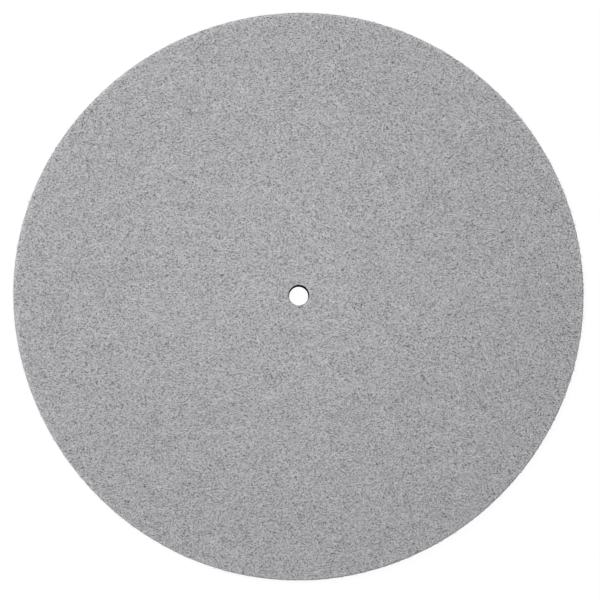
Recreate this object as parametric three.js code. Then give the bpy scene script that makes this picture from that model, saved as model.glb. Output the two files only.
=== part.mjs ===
// Turntable platter mat: one disc of pressed wool felt, cut by a die in one stroke
// together with the hole for the platter's spindle. It lies on the platter, and the
// record lies on it.
//
// Millimetres, +Z up. The origin is the centre of the spindle hole on the underside,
// the face that rests on the platter.
import * as THREE from "three";

// Sizes of the felt disc. It covers the platter of a player for 12-inch records.
const MAT_DIAMETER = 295;
const FELT_THICKNESS = 3;

// The hole clears the 7.2 mm spindle, so that the mat drops on without being forced.
// The punch drags the felt with it, so the wall leans back a little towards the top.
const SPINDLE_HOLE_DIAMETER = 9.8;
const SPINDLE_HOLE_LEAN = 0.4;
const SPINDLE_HOLE_EDGE_ROUNDING = 0.2;

// The die presses the margin of the disc down as it enters, so the top rolls off
// towards the outer cut, and the cut leaves a crisper corner underneath.
const MARGIN_ROLL_WIDTH = 2.5;
const MARGIN_ROLL_DEPTH = 0.45;
const UNDERSIDE_EDGE_ROUNDING = 0.2;

// How finely the curves are divided.
const FLATS_ROUND_THE_MAT = 180;
const FLATS_ACROSS_THE_MARGIN_ROLL = 6;
const FLATS_ON_A_CUT_CORNER = 3;

const QUARTER_TURN = Math.PI / 2;

const feltMaterial = new THREE.MeshStandardMaterial({
  color: 0xa5a5a7,
  roughness: 0.95,
  metalness: 0,
});

// A quarter of an ellipse in the cut section, from startAngle on, round a centre at
// the given radius and height of the mat.
function roundedCorner({ radius, height, width, depth, startAngle, flats }) {
  const points = [];
  for (let step = 0; step <= flats; step += 1) {
    const angle = startAngle + (QUARTER_TURN * step) / flats;
    points.push(new THREE.Vector2(
      radius + width * Math.cos(angle),
      height + depth * Math.sin(angle),
    ));
  }
  return points;
}

// The section of the felt from the spindle hole to the outer cut, as radius and
// height. It runs up the outer cut, in along the top, down the hole and back out.
function cutSection() {
  const outerRadius = MAT_DIAMETER / 2;
  const holeRadius = SPINDLE_HOLE_DIAMETER / 2;
  const mouthRadius = holeRadius + SPINDLE_HOLE_LEAN;
  const rollDepth = Math.min(MARGIN_ROLL_DEPTH, FELT_THICKNESS / 2);
  const holeRounding = Math.min(SPINDLE_HOLE_EDGE_ROUNDING, FELT_THICKNESS / 2);
  const undersideRounding = Math.min(UNDERSIDE_EDGE_ROUNDING, FELT_THICKNESS / 2);
  const section = [
    ...roundedCorner({
      radius: outerRadius - undersideRounding,
      height: undersideRounding,
      width: undersideRounding,
      depth: undersideRounding,
      startAngle: -QUARTER_TURN,
      flats: FLATS_ON_A_CUT_CORNER,
    }),
    ...roundedCorner({
      radius: outerRadius - MARGIN_ROLL_WIDTH,
      height: FELT_THICKNESS - rollDepth,
      width: MARGIN_ROLL_WIDTH,
      depth: rollDepth,
      startAngle: 0,
      flats: FLATS_ACROSS_THE_MARGIN_ROLL,
    }),
    ...roundedCorner({
      radius: mouthRadius + holeRounding,
      height: FELT_THICKNESS - holeRounding,
      width: holeRounding,
      depth: holeRounding,
      startAngle: QUARTER_TURN,
      flats: FLATS_ON_A_CUT_CORNER,
    }),
    ...roundedCorner({
      radius: holeRadius + undersideRounding,
      height: undersideRounding,
      width: undersideRounding,
      depth: undersideRounding,
      startAngle: 2 * QUARTER_TURN,
      flats: FLATS_ON_A_CUT_CORNER,
    }),
  ];
  section.push(section[0].clone());
  return section;
}

function feltMat() {
  const geometry = new THREE.LatheGeometry(cutSection(), FLATS_ROUND_THE_MAT);
  geometry.rotateX(QUARTER_TURN);
  const mat = new THREE.Mesh(geometry, feltMaterial);
  mat.name = "felt_mat";
  return mat;
}

const platterMat = new THREE.Group();
platterMat.name = "platter_mat";
platterMat.add(feltMat());

export default platterMat;
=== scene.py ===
import math
import random

import bmesh
import bpy
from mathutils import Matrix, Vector


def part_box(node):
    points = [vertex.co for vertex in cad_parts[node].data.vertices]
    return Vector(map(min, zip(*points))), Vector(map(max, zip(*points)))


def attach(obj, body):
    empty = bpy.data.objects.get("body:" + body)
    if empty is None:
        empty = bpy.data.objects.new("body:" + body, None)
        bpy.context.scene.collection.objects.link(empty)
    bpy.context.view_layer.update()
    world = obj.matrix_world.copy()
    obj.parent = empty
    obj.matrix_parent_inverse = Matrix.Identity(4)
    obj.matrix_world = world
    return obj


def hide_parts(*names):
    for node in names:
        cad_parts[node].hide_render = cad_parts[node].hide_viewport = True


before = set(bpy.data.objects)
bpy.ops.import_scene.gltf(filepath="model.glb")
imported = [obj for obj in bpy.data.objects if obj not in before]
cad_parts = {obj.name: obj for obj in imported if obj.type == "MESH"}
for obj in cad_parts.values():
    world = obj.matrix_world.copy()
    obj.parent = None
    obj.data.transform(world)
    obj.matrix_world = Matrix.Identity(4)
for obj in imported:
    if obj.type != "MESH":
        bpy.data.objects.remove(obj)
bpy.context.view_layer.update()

MM = 0.001

# The felt disc. Pressed wool, stamped from the sheet by a die in one stroke together with the hole for
# the spindle. Both faces are flat; the margin rolls off where the die pressed it down, and the wall of
# the hole leans back towards the top.
_, disc_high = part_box("felt_mat")
outer_radius = disc_high.x
thickness = disc_high.z
hole_radius = min(math.hypot(v.co.x, v.co.y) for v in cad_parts["felt_mat"].data.vertices)

HOLE_LEAN = 0.4 * MM
CUT_CORNER = 0.2 * MM
CUT_CORNER_STEPS = 3
ROLL_WIDTH = 2.5 * MM
ROLL_DEPTH = 0.45 * MM
ROLL_RINGS = 6
RINGS_ON_TOP = 104
RINGS_UNDERNEATH = 44
RINGS_ON_THE_OUTER_CUT = 3
SPOKES = 576

SAME_PLACE = 0.01 * MM
SEAM_MERGE = 0.001 * MM

roll_start = outer_radius - ROLL_WIDTH


def near(a, b):
    """True if two lengths are the same, but for rounding."""
    return abs(a - b) < SAME_PLACE


def pick(piece, kind, test):
    """Selects the edited piece's vertices or edges whose every corner passes the test."""
    shape = bmesh.from_edit_mesh(piece.data)
    bpy.ops.mesh.select_all(action="DESELECT")
    if kind == "VERTS":
        found = [v for v in shape.verts if test(v.co)]
    else:
        found = [e for e in shape.edges if all(test(v.co) for v in e.verts)]
    for part in found:
        part.select_set(True)
    bmesh.update_edit_mesh(piece.data)


def apply_modifier(piece, kind, **settings):
    """Adds a modifier of that kind with those settings and applies it."""
    bpy.context.view_layer.objects.active = piece
    bpy.ops.object.modifier_add(type=kind)
    modifier = piece.modifiers[-1]
    for name, value in settings.items():
        setattr(modifier, name, value)
    bpy.ops.object.modifier_apply(modifier=modifier.name)


# The cut section stands on edge beside the axis as a rectangle, gets its lean, corners and roll, and is
# then turned once round the axis.
bpy.ops.object.select_all(action="DESELECT")
bpy.ops.mesh.primitive_plane_add(size=1, rotation=(math.pi / 2, 0, 0))
felt = bpy.context.object
felt.name = "felt_disc"
felt.scale = (outer_radius - hole_radius, thickness, 1)
felt.location = ((outer_radius + hole_radius) / 2, 0, thickness / 2)
bpy.ops.object.transform_apply(location=True, rotation=True, scale=True)
bpy.ops.object.mode_set(mode="EDIT")
bpy.ops.mesh.select_mode(type="VERT")
bpy.ops.mesh.select_all(action="SELECT")
bpy.ops.mesh.bisect(plane_co=(roll_start, 0, 0), plane_no=(1, 0, 0))
bpy.ops.mesh.select_all(action="SELECT")
bpy.ops.mesh.delete(type="ONLY_FACE")
pick(felt, "EDGES", lambda p: near(p.x, roll_start))
bpy.ops.mesh.delete(type="EDGE")
pick(felt, "VERTS", lambda p: near(p.x, roll_start) and near(p.z, 0))
bpy.ops.mesh.dissolve_verts()
pick(felt, "VERTS", lambda p: near(p.x, hole_radius) and near(p.z, thickness))
bpy.ops.transform.translate(value=(HOLE_LEAN, 0, 0))
pick(felt, "VERTS", lambda p: p.x < roll_start / 2 or (near(p.x, outer_radius) and near(p.z, 0)))
bpy.ops.mesh.bevel(offset=CUT_CORNER, segments=CUT_CORNER_STEPS, affect="VERTICES")
pick(felt, "EDGES", lambda p: near(p.z, thickness) and p.x < roll_start + CUT_CORNER / 2)
bpy.ops.mesh.subdivide(number_cuts=RINGS_ON_TOP)
pick(felt, "EDGES", lambda p: near(p.z, thickness) and p.x > roll_start - CUT_CORNER / 2)
bpy.ops.mesh.subdivide(number_cuts=ROLL_RINGS)
pick(felt, "EDGES", lambda p: near(p.z, 0))
bpy.ops.mesh.subdivide(number_cuts=RINGS_UNDERNEATH)
for v in bmesh.from_edit_mesh(felt.data).verts:
    if near(v.co.z, thickness) and v.co.x > roll_start:
        turn = (v.co.x - roll_start) / ROLL_WIDTH * math.pi / 2
        v.co.x = roll_start + ROLL_WIDTH * math.sin(turn)
        v.co.z = thickness - ROLL_DEPTH * (1 - math.cos(turn))
pick(felt, "EDGES", lambda p: near(p.x, outer_radius))
bpy.ops.mesh.subdivide(number_cuts=RINGS_ON_THE_OUTER_CUT)
bpy.ops.object.mode_set(mode="OBJECT")
apply_modifier(
    felt,
    "SCREW",
    axis="Z",
    steps=SPOKES,
    render_steps=SPOKES,
    use_merge_vertices=True,
    merge_threshold=SEAM_MERGE,
    use_smooth_shade=True,
)
bpy.ops.object.mode_set(mode="EDIT")
bpy.ops.mesh.select_all(action="SELECT")
bpy.ops.mesh.normals_make_consistent(inside=False)
bpy.ops.object.mode_set(mode="OBJECT")

# Felt eases out of round after it is cut, in three soft lobes and in four. Each set has a height and
# the direction of its first crest. Every point keeps the radius that it was cut at, for the colours.
THREE_LOBES_HEIGHT = 0.28 * MM
THREE_LOBES_CREST = math.radians(42)
FOUR_LOBES_HEIGHT = 0.26 * MM
FOUR_LOBES_CREST = math.radians(-10)
cut_radius = felt.data.attributes.new("cut_radius", "FLOAT", "POINT")
for v in felt.data.vertices:
    cut_radius.data[v.index].value = v.co.xy.length
    round_the_mat = math.atan2(v.co.y, v.co.x)
    eased = THREE_LOBES_HEIGHT * math.cos(3 * (round_the_mat - THREE_LOBES_CREST))
    eased += FOUR_LOBES_HEIGHT * math.cos(4 * (round_the_mat - FOUR_LOBES_CREST))
    stretch = 1 + eased / outer_radius * (v.co.xy.length / outer_radius)
    v.co.x *= stretch
    v.co.y *= stretch

# The punch was driven a little off the upright, so the foot of the hole lies to one side of the middle
# and its mouth to the other. The felt round it follows, less and less outwards.
FOOT_SHIFT = Vector((-0.041, -0.31, 0)) * MM
MOUTH_SHIFT = Vector((0.152, 0.079, 0)) * MM
SHIFT_REACH = 4 * MM
for v in felt.data.vertices:
    from_the_wall = v.co.xy.length - hole_radius
    if from_the_wall < SHIFT_REACH:
        held_back = 1 - max(from_the_wall, 0) / SHIFT_REACH
        v.co += FOOT_SHIFT.lerp(MOUTH_SHIFT, v.co.z / thickness) * held_back

# The top of pressed felt is never quite level: it billows slowly, and on that lie lumps and the short
# nap of the wool. The cut walls are ragged on a smaller scale.
BILLOW_WIDTH = 34 * MM
BILLOW_HEIGHT = 0.30 * MM
LUMP_WIDTH = 8 * MM
LUMP_HEIGHT = 0.14 * MM
NAP_WIDTH = 3.4 * MM
NAP_HEIGHT = 0.12 * MM
RAG_WIDTH = 2.2 * MM
RAG_HEIGHT = 0.12 * MM
HALF_IN_HALF_OUT = 0.5
top_face = felt.vertex_groups.new(name="top_face")
top_face.add([v.index for v in felt.data.vertices if v.co.z > thickness / 2], 1.0, "REPLACE")
cut_walls = felt.vertex_groups.new(name="cut_walls")
cut_walls.add(
    [
        v.index
        for v in felt.data.vertices
        if CUT_CORNER / 2 < v.co.z < thickness - CUT_CORNER / 2
    ],
    1.0,
    "REPLACE",
)
for name, group, direction, width, height in (
    ("slow_billow", "top_face", "Z", BILLOW_WIDTH, BILLOW_HEIGHT),
    ("felt_lumps", "top_face", "Z", LUMP_WIDTH, LUMP_HEIGHT),
    ("felt_nap", "top_face", "Z", NAP_WIDTH, NAP_HEIGHT),
    ("ragged_cut", "cut_walls", "NORMAL", RAG_WIDTH, RAG_HEIGHT),
):
    lumps = bpy.data.textures.new(name, "CLOUDS")
    lumps.noise_scale = width
    lumps.noise_depth = 1
    apply_modifier(
        felt,
        "DISPLACE",
        texture=lumps,
        texture_coords="LOCAL",
        direction=direction,
        vertex_group=group,
        mid_level=HALF_IN_HALF_OUT,
        strength=height,
    )


def place(tree, kind, settings=None, **inputs):
    """Adds a node. An input given as another node's output is linked, and any other value is set."""
    made = tree.nodes.new(kind)
    for name, value in (settings or {}).items():
        setattr(made, name, value)
    for name, value in inputs.items():
        feed(tree, made.inputs[name.replace("_", " ")], value)
    return made


def feed(tree, socket, value):
    """Links another node's output to the socket, or sets the socket to a plain value."""
    if isinstance(value, bpy.types.NodeSocket):
        tree.links.new(value, socket)
    else:
        socket.default_value = value


def reckon(tree, operation, first, second=0.0, third=0.0):
    """One step of arithmetic on values or outputs; gives the output."""
    made = tree.nodes.new("ShaderNodeMath")
    made.operation = operation
    for socket, value in zip(made.inputs, (first, second, third)):
        feed(tree, socket, value)
    return made.outputs[0]


def combine(tree, operation, first, second):
    """One step of arithmetic on vectors; gives the output."""
    made = tree.nodes.new("ShaderNodeVectorMath")
    made.operation = operation
    feed(tree, made.inputs[0], first)
    feed(tree, made.inputs[1], second)
    return made.outputs[0]


def blend_colours(tree, share, first, second):
    """A colour between two; the share is how much of the second it has."""
    share_socket, first_socket, second_socket, blend_socket = 0, 6, 7, 2
    made = place(tree, "ShaderNodeMix", {"data_type": "RGBA"})
    feed(tree, made.inputs[share_socket], share)
    feed(tree, made.inputs[first_socket], first)
    feed(tree, made.inputs[second_socket], second)
    return made.outputs[blend_socket]


def start_tree(owner):
    """Gives a material or the world an empty node tree."""
    owner.use_nodes = True
    owner.node_tree.nodes.clear()
    return owner.node_tree


def end_tree(tree, shader, output="ShaderNodeOutputMaterial"):
    """Makes the shader the one that the material or the world shows."""
    tree.links.new(shader.outputs[0], place(tree, output).inputs[0])


# Wool fibres lie in the felt in short strokes, mostly along the way it was combed. The group cuts the
# felt into small cells, turns each its own way within the comb's spread, and draws a noise out along it.
STROKE_SOCKETS = (
    ("Vector", "NodeSocketVector"),
    ("Cells Per Metre", "NodeSocketFloat"),
    ("Strokes Per Metre", "NodeSocketFloat"),
    ("Shorten", "NodeSocketVector"),
)
CELL_SPREAD = 3.0
COMB_DIRECTION = math.radians(2)
COMB_SPREAD = math.radians(105)
NOISE_MIDDLE = 0.5
fibre_strokes = bpy.data.node_groups.new("wool_fibre_strokes", "ShaderNodeTree")
for name, kind in STROKE_SOCKETS:
    fibre_strokes.interface.new_socket(name, in_out="INPUT", socket_type=kind)
fibre_strokes.interface.new_socket("Strokes", in_out="OUTPUT", socket_type="NodeSocketFloat")
given = fibre_strokes.nodes.new("NodeGroupInput").outputs
cells = place(
    fibre_strokes, "ShaderNodeTexVoronoi", Vector=given["Vector"], Scale=given["Cells Per Metre"]
)
cell_chance = place(fibre_strokes, "ShaderNodeSeparateColor", Color=cells.outputs["Color"])
turned = place(
    fibre_strokes,
    "ShaderNodeVectorRotate",
    {"rotation_type": "Z_AXIS"},
    Vector=combine(fibre_strokes, "SUBTRACT", given["Vector"], cells.outputs["Position"]),
    Angle=reckon(
        fibre_strokes,
        "MULTIPLY_ADD",
        cell_chance.outputs[0],
        COMB_SPREAD,
        COMB_DIRECTION - COMB_SPREAD / 2,
    ),
)
drawn_out = combine(fibre_strokes, "MULTIPLY", turned.outputs[0], given["Shorten"])
own_patch = combine(fibre_strokes, "MULTIPLY", cells.outputs["Color"], (CELL_SPREAD,) * 3)
strokes = place(
    fibre_strokes,
    "ShaderNodeTexNoise",
    Vector=combine(fibre_strokes, "ADD", drawn_out, own_patch),
    Scale=given["Strokes Per Metre"],
    Detail=0.0,
)
result = fibre_strokes.nodes.new("NodeGroupOutput")
centred = reckon(fibre_strokes, "SUBTRACT", strokes.outputs[0], NOISE_MIDDLE)
fibre_strokes.links.new(centred, result.inputs["Strokes"])

# The felt is a blend of light and dark wool. Each layer of strokes has its cells and strokes in a metre,
# how far it is shortened along the stroke, and the corner of the pattern that it is taken from. Its share
# says how much it lightens or darkens the blend.
LIGHT_WOOL = (0.578, 0.576, 0.598, 1)
DARK_WOOL = (0.105, 0.105, 0.109, 1)
LIGHT_SHARE = 0.684
SHORT_STROKES = (760.0, 3600.0, 0.3, (0, 0, 0))
SHORT_SHARE = 1.36
LONG_STROKES = (540.0, 4300.0, 0.19, (0.5, 0.2, 0.1))
LONG_SHARE = 1.25
STUBBY_STROKES = (980.0, 3100.0, 0.35, (0.1, 0.6, 0.3))
STUBBY_SHARE = 1.0
GRAINS_PER_METRE = 1900.0
GRAIN_DETAIL = 1.0
GRAIN_SHARE = 1.2
CLOUDS_PER_METRE = 60.0
CLOUD_DETAIL = 4.0
CLOUD_CORNER = (0, 0.3, 0)
CLOUD_SHARE = 0.14
FLECKS = (650.0, 1650.0, 0.7, (0.3, 0.1, 0.7))
FLECK_START = 0.165
FLECK_SHARE = -30.0
HAIRS = (330.0, 11000.0, 0.08, (0.2, 0.2, 0.5))
HAIR_CONTRAST = 0.7
wool = bpy.data.materials.new("grey_wool_felt")
tree = start_tree(wool)
here = place(tree, "ShaderNodeTexCoord").outputs["Object"]


def draw_strokes(tree, where, cells_per_metre, strokes_per_metre, shorten, corner):
    """A layer of strokes, above and below nought."""
    made = place(
        tree,
        "ShaderNodeGroup",
        {"node_tree": fibre_strokes},
        Vector=combine(tree, "ADD", where, corner),
        Cells_Per_Metre=cells_per_metre,
        Strokes_Per_Metre=strokes_per_metre,
        Shorten=(shorten, 1.0, 1.0),
    )
    return made.outputs[0]


def soft_noise(tree, where, per_metre, detail, corner=(0, 0, 0)):
    """A noise with no direction, above and below nought."""
    made = place(
        tree,
        "ShaderNodeTexNoise",
        Vector=combine(tree, "ADD", where, corner),
        Scale=per_metre,
        Detail=detail,
    )
    return reckon(tree, "SUBTRACT", made.outputs[0], NOISE_MIDDLE)


short_strokes = draw_strokes(tree, here, *SHORT_STROKES)
long_strokes = draw_strokes(tree, here, *LONG_STROKES)
stubby_strokes = draw_strokes(tree, here, *STUBBY_STROKES)
hairs = draw_strokes(tree, here, *HAIRS)
grain = soft_noise(tree, here, GRAINS_PER_METRE, GRAIN_DETAIL)
clouds = soft_noise(tree, here, CLOUDS_PER_METRE, CLOUD_DETAIL, CLOUD_CORNER)
flecks = reckon(tree, "SUBTRACT", draw_strokes(tree, here, *FLECKS), FLECK_START)
dark_flecks = reckon(tree, "MAXIMUM", flecks, 0.0)

share = reckon(tree, "MULTIPLY_ADD", short_strokes, SHORT_SHARE, LIGHT_SHARE)
share = reckon(tree, "MULTIPLY_ADD", long_strokes, LONG_SHARE, share)
share = reckon(tree, "MULTIPLY_ADD", stubby_strokes, STUBBY_SHARE, share)
share = reckon(tree, "MULTIPLY_ADD", grain, GRAIN_SHARE, share)
share = reckon(tree, "MULTIPLY_ADD", clouds, CLOUD_SHARE, share)
share = reckon(tree, "MULTIPLY_ADD", dark_flecks, FLECK_SHARE, share)
wool_colour = blend_colours(tree, share, DARK_WOOL, LIGHT_WOOL)

# The colour grows paler over the last few millimetres towards the outer edge. The middle of the mat is
# painted lighter than its rim, a painted pool of light.
MARGIN_GAIN = 1.11
MARGIN_START = outer_radius - 3.0 * MM
MARGIN_END = outer_radius - 0.5 * MM
PAINTED_LIGHT_MIDDLE_GAIN = 1.05
PAINTED_LIGHT_RIM_GAIN = 0.98
radius = place(tree, "ShaderNodeAttribute", {"attribute_name": "cut_radius"}).outputs["Fac"]


def fade(start, end, low, high):
    """Goes smoothly from low to high between two radii."""
    made = place(tree, "ShaderNodeMapRange", {"interpolation_type": "SMOOTHSTEP"})
    for socket, value in zip(made.inputs, (radius, start, end, low, high)):
        feed(tree, socket, value)
    return made.outputs[0]


margin = fade(MARGIN_START, MARGIN_END, 1.0, MARGIN_GAIN)
# Painted light: the colour is lighter in the middle and darker towards the rim, in place of the lamp's
# falloff.
painted_light_pool = fade(0.0, outer_radius, PAINTED_LIGHT_MIDDLE_GAIN, PAINTED_LIGHT_RIM_GAIN)
# The hairs' tone, the paler margin and the painted light are multiplied into one gain on the wool colour.
tone_and_painted_light = reckon(tree, "MULTIPLY_ADD", hairs, HAIR_CONTRAST, 1.0)
tone_and_painted_light = reckon(tree, "MULTIPLY", tone_and_painted_light, reckon(tree, "MULTIPLY", margin, painted_light_pool))
colour = place(tree, "ShaderNodeVectorMath", {"operation": "SCALE"}, Scale=tone_and_painted_light)
feed(tree, colour.inputs[0], wool_colour)

# The strokes and the grain also stand up a little, and the felt is dull, with a trace of fuzz.
HAIR_RELIEF = 0.6
FELT_RELIEF = 0.5
FELT_RELIEF_HEIGHT = 0.1 * MM
FELT_ROUGHNESS = 0.95
FELT_SPECULAR = 0.2
FUZZ = 0.1
FUZZ_ROUGHNESS = 0.6
height = reckon(tree, "ADD", short_strokes, reckon(tree, "ADD", long_strokes, grain))
height = reckon(tree, "MULTIPLY_ADD", hairs, HAIR_RELIEF, height)
bump = place(
    tree, "ShaderNodeBump", Strength=FELT_RELIEF, Distance=FELT_RELIEF_HEIGHT, Height=height
)
felt_shader = place(
    tree,
    "ShaderNodeBsdfPrincipled",
    Base_Color=colour.outputs[0],
    Roughness=FELT_ROUGHNESS,
    Specular_IOR_Level=FELT_SPECULAR,
    Sheen_Weight=FUZZ,
    Sheen_Roughness=FUZZ_ROUGHNESS,
    Normal=bump.outputs[0],
)
end_tree(tree, felt_shader)
felt.data.materials.append(wool)

# The wall of the hole is painted nearly black with a trace of brown: painted shade for the shadow deep
# inside the hole. It is dull, with small lumps.
HOLE_WALL_PAINTED_SHADE = (0.0015, 0.0015, 0.0015, 1)
PAINTED_SHADE_BROWNISH = (0.006, 0.005, 0.0045, 1)
PAINTED_SHADE_LUMPS_PER_METRE = 2500.0
PAINTED_SHADE_DETAIL = 2.0
PAINTED_SHADE_RELIEF = 0.6
PAINTED_SHADE_RELIEF_HEIGHT = 0.1 * MM
PAINTED_SHADE_REACH = 0.14 * MM
hole_wall_shade = bpy.data.materials.new("hole_wall_painted_shade")
tree = start_tree(hole_wall_shade)
here = place(tree, "ShaderNodeTexCoord").outputs["Object"]
lumps = place(
    tree,
    "ShaderNodeTexNoise",
    Vector=here,
    Scale=PAINTED_SHADE_LUMPS_PER_METRE,
    Detail=PAINTED_SHADE_DETAIL,
).outputs[0]
bump = place(
    tree, "ShaderNodeBump", Strength=PAINTED_SHADE_RELIEF, Distance=PAINTED_SHADE_RELIEF_HEIGHT, Height=lumps
)
painted_shade_shader = place(
    tree,
    "ShaderNodeBsdfPrincipled",
    Base_Color=blend_colours(tree, lumps, HOLE_WALL_PAINTED_SHADE, PAINTED_SHADE_BROWNISH),
    Roughness=1.0,
    Specular_IOR_Level=0.0,
    Normal=bump.outputs[0],
)
end_tree(tree, painted_shade_shader)
felt.data.materials.append(hole_wall_shade)
cut_radius = felt.data.attributes["cut_radius"]
# Faces on the wall of the hole take the painted shade, not the felt's own colour.
for face in felt.data.polygons:
    reach = sum(cut_radius.data[v].value for v in face.vertices) / len(face.vertices)
    if reach < hole_radius + HOLE_LEAN + PAINTED_SHADE_REACH and face.center.z > CUT_CORNER / 2:
        face.material_index = felt.data.materials.find("hole_wall_painted_shade")

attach(felt, "root")
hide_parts("felt_mat")

# Loose wool fibres. Single hairs have worked out of the felt and lie across its face, and short ones stand
# out of the cut edge. Each keeps both ends, or its root, in the felt.
FIBRES_ON_TOP = 3400
FIBRE_POINTS = 6
FIBRE_THICKNESS = 0.10 * MM
FIBRE_LENGTH = (4 * MM, 11 * MM)
FIBRE_LIFT = 0.10 * MM
FIBRE_ROOT = 0.12 * MM
FIBRE_BEND = math.radians(24)
FIBRE_BENDING_ON = 0.6
FIBRE_RISE = (0.1, 1.0)
FIBRE_WELD = FIBRE_THICKNESS / 20
EDGE_FIBRES = 700
EDGE_FIBRE_LENGTH = (0.5 * MM, 1.3 * MM)
EDGE_FIBRE_DEPTH = 0.35 * MM
EDGE_FIBRE_RISE = (-0.3, 0.5)
EDGE_FIBRE_SLANT = (0.4, 2.5)
EDGE_FIBRE_CURL = 0.5
KEEP_FROM_CUTS = 2.5 * MM
FIBRE_SEED = 7
chance = random.Random(FIBRE_SEED)
fibres = bpy.data.curves.new("loose_fibres", "CURVE")
fibres.dimensions = "3D"
fibres.bevel_depth = FIBRE_THICKNESS / 2
fibres.bevel_resolution = 0
fibres.use_fill_caps = True


def add_fibre(points):
    """Adds one strand through the points."""
    strand = fibres.splines.new("POLY")
    strand.points.add(len(points) - 1)
    for place_on_strand, point in zip(strand.points, points):
        place_on_strand.co = (*point, 1)


down = Vector((0, 0, -1))
for _ in range(FIBRES_ON_TOP):
    inner = hole_radius + KEEP_FROM_CUTS
    outer = outer_radius - KEEP_FROM_CUTS
    reach = math.sqrt(chance.uniform(inner**2, outer**2))
    round_the_mat = chance.uniform(0, math.tau)
    spot = Vector((reach * math.cos(round_the_mat), reach * math.sin(round_the_mat), 0))
    heading = chance.uniform(-COMB_SPREAD, COMB_SPREAD) / 2 - COMB_DIRECTION
    step = chance.uniform(*FIBRE_LENGTH) / (FIBRE_POINTS - 1)
    bend = chance.gauss(0, FIBRE_BEND)
    line = []
    for index in range(FIBRE_POINTS):
        hit, ground, _, _ = felt.ray_cast(Vector((spot.x, spot.y, 2 * thickness)), down)
        if not hit or not inner < spot.length < outer_radius - FIBRE_LIFT:
            break
        at_an_end = index in (0, FIBRE_POINTS - 1)
        lift = -FIBRE_ROOT if at_an_end else FIBRE_LIFT * chance.uniform(*FIBRE_RISE)
        line.append((spot.x, spot.y, ground.z + lift))
        heading += bend
        bend = bend * FIBRE_BENDING_ON + chance.gauss(0, FIBRE_BEND) * (1 - FIBRE_BENDING_ON)
        spot += Vector((math.cos(heading), math.sin(heading), 0)) * step
    if len(line) == FIBRE_POINTS:
        add_fibre(line)
for _ in range(EDGE_FIBRES):
    round_the_mat = chance.uniform(0, math.tau)
    outwards = Vector((math.cos(round_the_mat), math.sin(round_the_mat), 0))
    height = chance.uniform(CUT_CORNER, thickness - ROLL_DEPTH)
    beside = outwards * 2 * outer_radius + Vector((0, 0, height))
    _, ground, _, _ = felt.ray_cast(beside, -outwards)
    root = ground - outwards * EDGE_FIBRE_DEPTH
    along = Vector((-outwards.y, outwards.x, chance.uniform(*EDGE_FIBRE_RISE))) * chance.choice((-1, 1))
    aim_out = (outwards + along * chance.uniform(*EDGE_FIBRE_SLANT)).normalized()
    length = EDGE_FIBRE_DEPTH + chance.uniform(*EDGE_FIBRE_LENGTH)
    line = []
    for index in range(FIBRE_POINTS):
        part = index / (FIBRE_POINTS - 1)
        point = root + aim_out * length * part + along * length * EDGE_FIBRE_CURL * part**2
        line.append((point.x, point.y, min(max(point.z, CUT_CORNER), thickness)))
    add_fibre(line)

loose = bpy.data.objects.new("loose_fibres", fibres)
bpy.context.scene.collection.objects.link(loose)
bpy.ops.object.select_all(action="DESELECT")
bpy.context.view_layer.objects.active = loose
loose.select_set(True)
bpy.ops.object.convert(target="MESH")
loose = bpy.context.object
bpy.ops.object.mode_set(mode="EDIT")
bpy.ops.mesh.select_all(action="SELECT")
bpy.ops.mesh.remove_doubles(threshold=FIBRE_WELD)
bpy.ops.mesh.normals_make_consistent(inside=False)
bpy.ops.object.mode_set(mode="OBJECT")

PALE_HAIR = (0.88, 0.88, 0.90, 1)
GREY_HAIR = (0.30, 0.30, 0.31, 1)
HAIR_CHANGES_PER_METRE = 120.0
HAIR_CHANGE_DETAIL = 1.0
HAIR_CHANGE_CONTRAST = 3.0
PALE_SHARE = 0.75
HAIR_ROUGHNESS = 0.7
HAIR_SPECULAR = 0.3
hair = bpy.data.materials.new("loose_wool_hair")
tree = start_tree(hair)
here = place(tree, "ShaderNodeTexCoord").outputs["Object"]
paleness = soft_noise(tree, here, HAIR_CHANGES_PER_METRE, HAIR_CHANGE_DETAIL)
paleness = reckon(tree, "MULTIPLY_ADD", paleness, HAIR_CHANGE_CONTRAST, PALE_SHARE)
hair_shader = place(
    tree,
    "ShaderNodeBsdfPrincipled",
    Base_Color=blend_colours(tree, paleness, GREY_HAIR, PALE_HAIR),
    Roughness=HAIR_ROUGHNESS,
    Specular_IOR_Level=HAIR_SPECULAR,
)
end_tree(tree, hair_shader)
loose.data.materials.append(hair)
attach(loose, "root")

# The floor is a plain pale sheet. The camera sees it white, and it keeps a faint shadow of the mat.
FLOOR_SIZE = 12.0
FLOOR_GAP = 0.05 * MM
bpy.ops.object.select_all(action="DESELECT")
bpy.ops.mesh.primitive_plane_add(size=FLOOR_SIZE, location=(0, 0, -FLOOR_GAP))
floor = bpy.context.object
floor.name = "pale_floor"
FLOOR_WHITE = 0.95
FLOOR_SHADED = 0.06
FLOOR_GREY = 0.45
WHITE = (1, 1, 1, 1)


def seen_as_white(tree, lit, white):
    """The white shader for the camera and for what glossy and clear things show, else the lit one."""
    ray = place(tree, "ShaderNodeLightPath").outputs
    seen = reckon(tree, "MAXIMUM", ray["Is Camera Ray"], ray["Is Glossy Ray"])
    seen = reckon(tree, "MAXIMUM", seen, ray["Is Transmission Ray"])
    made = place(tree, "ShaderNodeMixShader", Fac=seen)
    tree.links.new(lit.outputs[0], made.inputs[1])
    tree.links.new(white.outputs[0], made.inputs[2])
    return made


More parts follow.
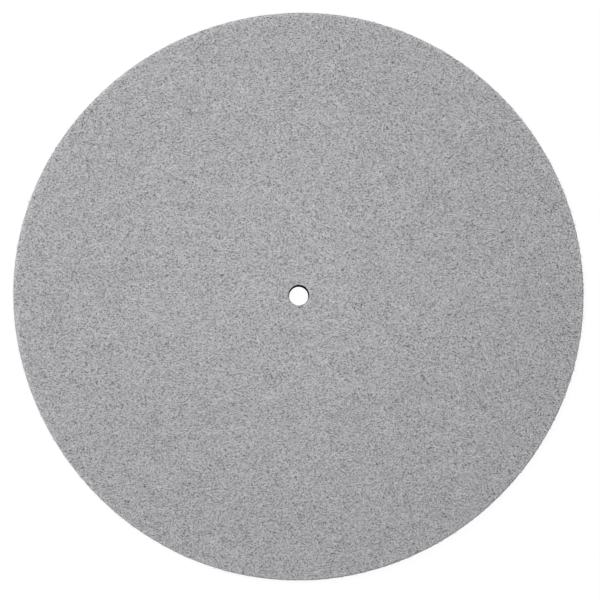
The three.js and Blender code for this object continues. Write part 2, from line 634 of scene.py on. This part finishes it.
paper = bpy.data.materials.new("pale_paper")
tree = start_tree(paper)
grey = place(tree, "ShaderNodeBsdfDiffuse", Color=(FLOOR_GREY, FLOOR_GREY, FLOOR_GREY, 1))
faint = place(tree, "ShaderNodeBsdfDiffuse", Color=(FLOOR_SHADED, FLOOR_SHADED, FLOOR_SHADED, 1))
glow = place(tree, "ShaderNodeEmission", Color=WHITE, Strength=FLOOR_WHITE)
white = place(tree, "ShaderNodeAddShader")
tree.links.new(faint.outputs[0], white.inputs[0])
tree.links.new(glow.outputs[0], white.inputs[1])
end_tree(tree, seen_as_white(tree, grey, white))
floor.data.materials.append(paper)

# The light: a big soft lamp at the upper left, and an even pale room all round.
KEY_SHARE = 0.55
ROOM_SHARE = 0.45
KEY_DISTANCE = 1.6
KEY_SIZE = 0.8
KEY_HEADING = math.radians(135)
KEY_ELEVATION = math.radians(50)
key_direction = Vector(
    (
        math.cos(KEY_ELEVATION) * math.cos(KEY_HEADING),
        math.cos(KEY_ELEVATION) * math.sin(KEY_HEADING),
        math.sin(KEY_ELEVATION),
    )
)
key = bpy.data.lights.new("key_lamp", "AREA")
key.size = KEY_SIZE
key.energy = KEY_SHARE * math.pi**2 * KEY_DISTANCE**2 / math.sin(KEY_ELEVATION)
key_lamp = bpy.data.objects.new("key_lamp", key)
key_lamp.location = key_direction * KEY_DISTANCE
key_lamp.rotation_euler = key_direction.to_track_quat("Z", "Y").to_euler()
bpy.context.scene.collection.objects.link(key_lamp)

world = bpy.data.worlds.new("pale_room")
bpy.context.scene.world = world
tree = start_tree(world)
room = place(tree, "ShaderNodeBackground", Color=WHITE, Strength=ROOM_SHARE)
backdrop = place(tree, "ShaderNodeBackground", Color=WHITE, Strength=1.0)
end_tree(tree, seen_as_white(tree, room, backdrop), "ShaderNodeOutputWorld")

# The camera looks down on the mat, leaning a little so that it sees the far wall of the hole.
FRAME_PX = 600
MAT_RADIUS_PX = 284.0
MAT_CENTRE_PX = (298.68, 295.82)
SENSOR = 36
CAMERA_DISTANCE = 7.5
CAMERA_LEAN = math.radians(6)
LEAN_HEADING = math.radians(-9.5)
seen_radius = outer_radius * (1 + math.cos(CAMERA_LEAN)) / 2
metres_per_px = seen_radius / MAT_RADIUS_PX
lean_shift = outer_radius**2 * math.sin(CAMERA_LEAN) / CAMERA_DISTANCE
aim = Vector(
    (
        (FRAME_PX / 2 - MAT_CENTRE_PX[0]) * metres_per_px - lean_shift * math.sin(LEAN_HEADING),
        -(FRAME_PX / 2 - MAT_CENTRE_PX[1]) * metres_per_px - lean_shift * math.cos(LEAN_HEADING),
        thickness,
    )
)
looking = Vector(
    (
        math.sin(CAMERA_LEAN) * math.sin(LEAN_HEADING),
        math.sin(CAMERA_LEAN) * math.cos(LEAN_HEADING),
        -math.cos(CAMERA_LEAN),
    )
)
lens = bpy.data.cameras.new("camera")
lens.sensor_width = SENSOR
lens.lens = SENSOR * CAMERA_DISTANCE / (FRAME_PX * metres_per_px)
camera = bpy.data.objects.new("camera", lens)
camera.location = aim - looking * CAMERA_DISTANCE
camera.rotation_euler = (math.asin(looking.y), -math.atan2(looking.x, -looking.z), 0)
bpy.context.scene.collection.objects.link(camera)
bpy.context.scene.camera = camera
bpy.context.scene.view_settings.view_transform = "Standard"
